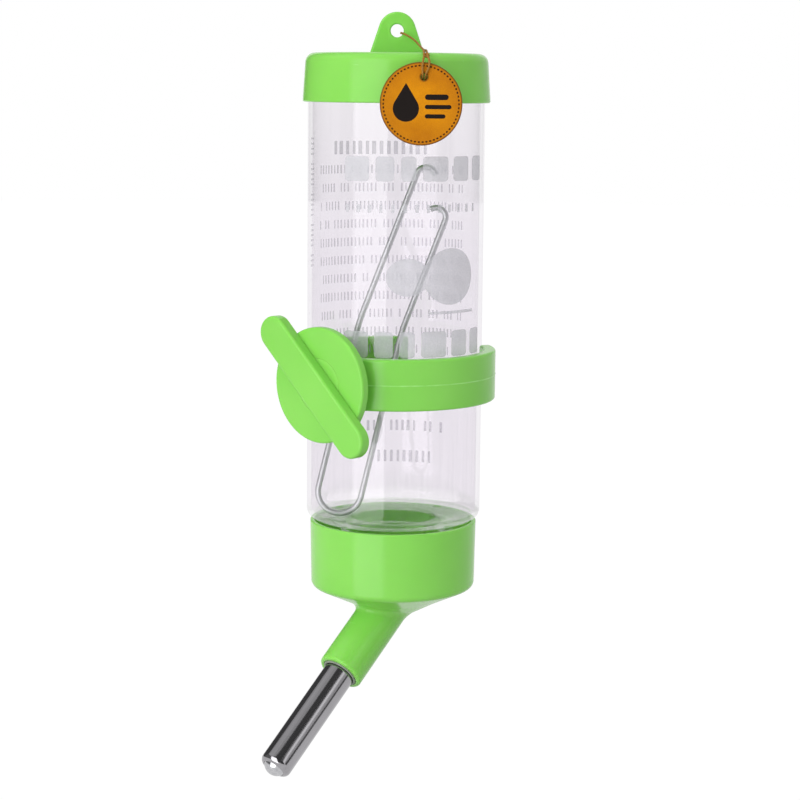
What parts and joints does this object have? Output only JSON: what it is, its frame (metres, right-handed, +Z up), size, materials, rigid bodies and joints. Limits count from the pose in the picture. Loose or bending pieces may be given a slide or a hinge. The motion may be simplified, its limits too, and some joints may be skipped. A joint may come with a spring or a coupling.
{
  "type": "small animal water bottle",
  "caption": "Clear gravity drinking bottle with a screw cap, an angled steel ball-valve tube and a screw-clamped clip ring for a wire cage.",
  "frame": {"origin": "the clamp stud's axis where it meets the face of the clip ring's pad, which bears on the cage", "axes": "+Z up along the bottle; the stud, the wing bar and the spout point along -Y, into the cage; +X to the right as seen from inside the cage looking at the bottle"},
  "size_m": [0.0534, 0.0696, 0.1852],
  "materials": {
    "clear_bottle": "clear moulded polymer, polished",
    "green_plastic": "satin moulded polypropylene",
    "steel_tube": "drawn stainless steel",
    "steel_wire": "bright zinc plated wire",
    "steel_ball": "polished bearing ball",
    "seal_rubber": "soft pale grey seal",
    "tag_leather": "ochre leather with a stitched edge",
    "string": "waxed tan thread"
  },
  "bodies": {
    "holder": {"ring_clip": "green_plastic"},
    "bottle": {"bottle_body": "clear_bottle", "hanger_wire": "steel_wire"},
    "top": {"top_cap": "green_plastic", "tag_cord": "string"},
    "tag": {"hang_tag": "tag_leather"},
    "gasket": {"cap_gasket": "seal_rubber"},
    "screw_cap": {"spout_cap": "green_plastic", "tube_bush": "seal_rubber", "drinking_tube": "steel_tube"},
    "valve": {"valve_ball": "steel_ball"},
    "upper": {"upper_ball": "steel_ball"},
    "disc": {"clamp_disc": "green_plastic"},
    "wing": {"wing_bar": "green_plastic"}
  },
  "joints": [
    {"name": "bottle_slide", "type": "slide", "parent": "holder", "child": "bottle", "axis": [0, 0, 1], "range_m": [-0.048, 0.028]},
    {"name": "top_pull", "type": "slide", "parent": "bottle", "child": "top", "axis": [0, 0, 1], "range_m": [0, 0.014]},
    {"name": "tag_swing", "type": "hinge", "parent": "top", "child": "tag", "pos_m": [0.02056, 0.01173, 0.0742], "axis": [0.6428, -0.766, 0], "range_deg": [-30, 30]},
    {"name": "cap_drop", "type": "slide", "parent": "bottle", "child": "gasket", "axis": [0, 0, -1], "range_m": [0, 0.0076]},
    {"name": "cap_turn", "type": "hinge", "parent": "gasket", "child": "screw_cap", "pos_m": [0, 0.0262, -0.05], "axis": [0, 0, -1], "range_deg": [0, 684]},
    {"name": "valve_push", "type": "slide", "parent": "screw_cap", "child": "valve", "axis": [0, 0.788, 0.6157], "range_m": [0, 0.0016]},
    {"name": "upper_push", "type": "slide", "parent": "screw_cap", "child": "upper", "axis": [0, 0.788, 0.6157], "range_m": [0, 0.0016]},
    {"name": "disc_slide", "type": "slide", "parent": "holder", "child": "disc", "axis": [0, -1, 0], "range_m": [0, 0.00336]},
    {"name": "wing_turn", "type": "hinge", "parent": "disc", "child": "wing", "pos_m": [0, 0, 0], "axis": [0, -1, 0], "range_deg": [0, 504]}
  ],
  "couplings": [
    {"joint": "cap_drop", "follows": "cap_turn", "m_per_rad": 0.00063662},
    {"joint": "upper_push", "follows": "valve_push", "ratio": 1},
    {"joint": "disc_slide", "follows": "wing_turn", "m_per_rad": 0.00038197}
  ]
}
